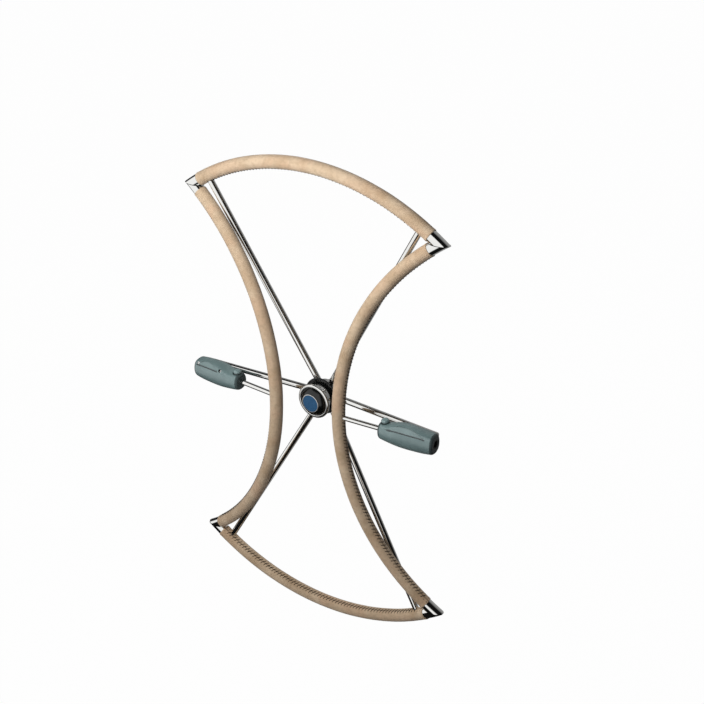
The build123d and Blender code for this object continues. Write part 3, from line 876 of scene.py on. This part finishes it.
def makeLamp(name, values):
    lamp = bpy.data.lights.new(name, "AREA")
    lamp.shape = "DISK"
    lamp.size = values["size"]
    lamp.energy = values["power"]
    holder = bpy.data.objects.new(name, lamp)
    place = Vector(values["place"])
    holder.matrix_world = Matrix.Translation(place) @ (-place).to_track_quat("-Z", "Y").to_matrix().to_4x4()
    holder.visible_glossy = False
    bpy.context.scene.collection.objects.link(holder)


# The tent is open in front and to the left, between two slopes as seen from the hub
tent = {
    "reach": 3.2,
    "floor": -0.67,
    "crown": 3.4,
    "pole": 0.01,  # small hole that stays open at the middle of the floor and of the dome
    "floorRows": 10,
    "domeRows": 14,
    "columns": 64,
    "window": -28,  # degrees to the right of straight in front
    "halfWidth": 62,
    "slopes": (-0.52, 1.1),
    "softness": 0.08,
    "front": 0.006,  # how pale the tent's cloth is towards the helmsman's side and behind the wheel
    "behind": 0.34,
    "turning": (0.35, 1),  # 1 is straight behind the wheel: where the cloth starts to pale and is palest
}


def makeTent(values):
    # a turned surface: flat floor, upright wall and an elliptical dome, each a function of one parameter
    spread = np.linspace(values["pole"], values["reach"], values["floorRows"])
    floor = [(radius, values["floor"]) for radius in spread]
    quarter = np.linspace(0, math.pi / 2 - values["pole"], values["domeRows"])
    dome = [(values["reach"] * math.cos(turn), values["crown"] * math.sin(turn)) for turn in quarter]
    radius, height = np.array(floor + dome).T[:, :, None]
    turn = np.linspace(0, 2 * math.pi, values["columns"], endpoint=False)[None, :]
    points = np.stack([radius * np.cos(turn), radius * np.sin(turn), height + 0 * turn], axis=-1)
    mesh = gridMesh("tent", points)
    material, tree, shader = newMaterial("tentCloth")
    tree.nodes.remove(shader)
    x, y, z = split(tree, objectPlace(tree))
    away = hypotenuse(tree, x, y)
    slope = mathNode(tree, "DIVIDE", z, away)
    heading = math.radians(values["window"])
    sideways = mathNode(tree, "MULTIPLY", x, math.sin(heading))
    facing = mathNode(tree, "ADD", sideways, mathNode(tree, "MULTIPLY", y, -math.cos(heading)))
    edge, soft = math.cos(math.radians(values["halfWidth"])), values["softness"]
    low, high = values["slopes"]
    # the window is the product of three soft steps: at its sides, its lower edge and its upper edge
    between = remap(tree, mathNode(tree, "DIVIDE", facing, away), (edge - soft, edge + soft), (0, 1))
    overLow = remap(tree, slope, (low - soft, low + soft), (0, 1))
    underHigh = remap(tree, slope, (high - soft, high + soft), (1, 0))
    opening = mathNode(tree, "MULTIPLY", mathNode(tree, "MULTIPLY", between, overLow), underHigh)
    backwards = mathNode(tree, "DIVIDE", y, away)
    tone = remap(tree, backwards, values["turning"], (values["front"], values["behind"]))
    cloth = tree.nodes.new("ShaderNodeEmission")
    feed(tree, cloth.inputs["Strength"], tone)
    clear = tree.nodes.new("ShaderNodeBsdfTransparent")
    feed(tree, outputOf(tree), mixShaders(tree, opening, cloth.outputs[0], clear.outputs[0]))
    mesh.materials.append(material)
    cover = bpy.data.objects.new("tent", mesh)
    cover.visible_camera = cover.visible_diffuse = cover.visible_shadow = False
    cover.visible_transmission = cover.visible_volume_scatter = False
    bpy.context.scene.collection.objects.link(cover)


makeWorld()
makeFloor()
for name, values in studio["lamps"].items():
    makeLamp(name, values)
makeTent(tent)
bpy.context.scene.view_settings.view_transform = "Standard"
print("studio set")
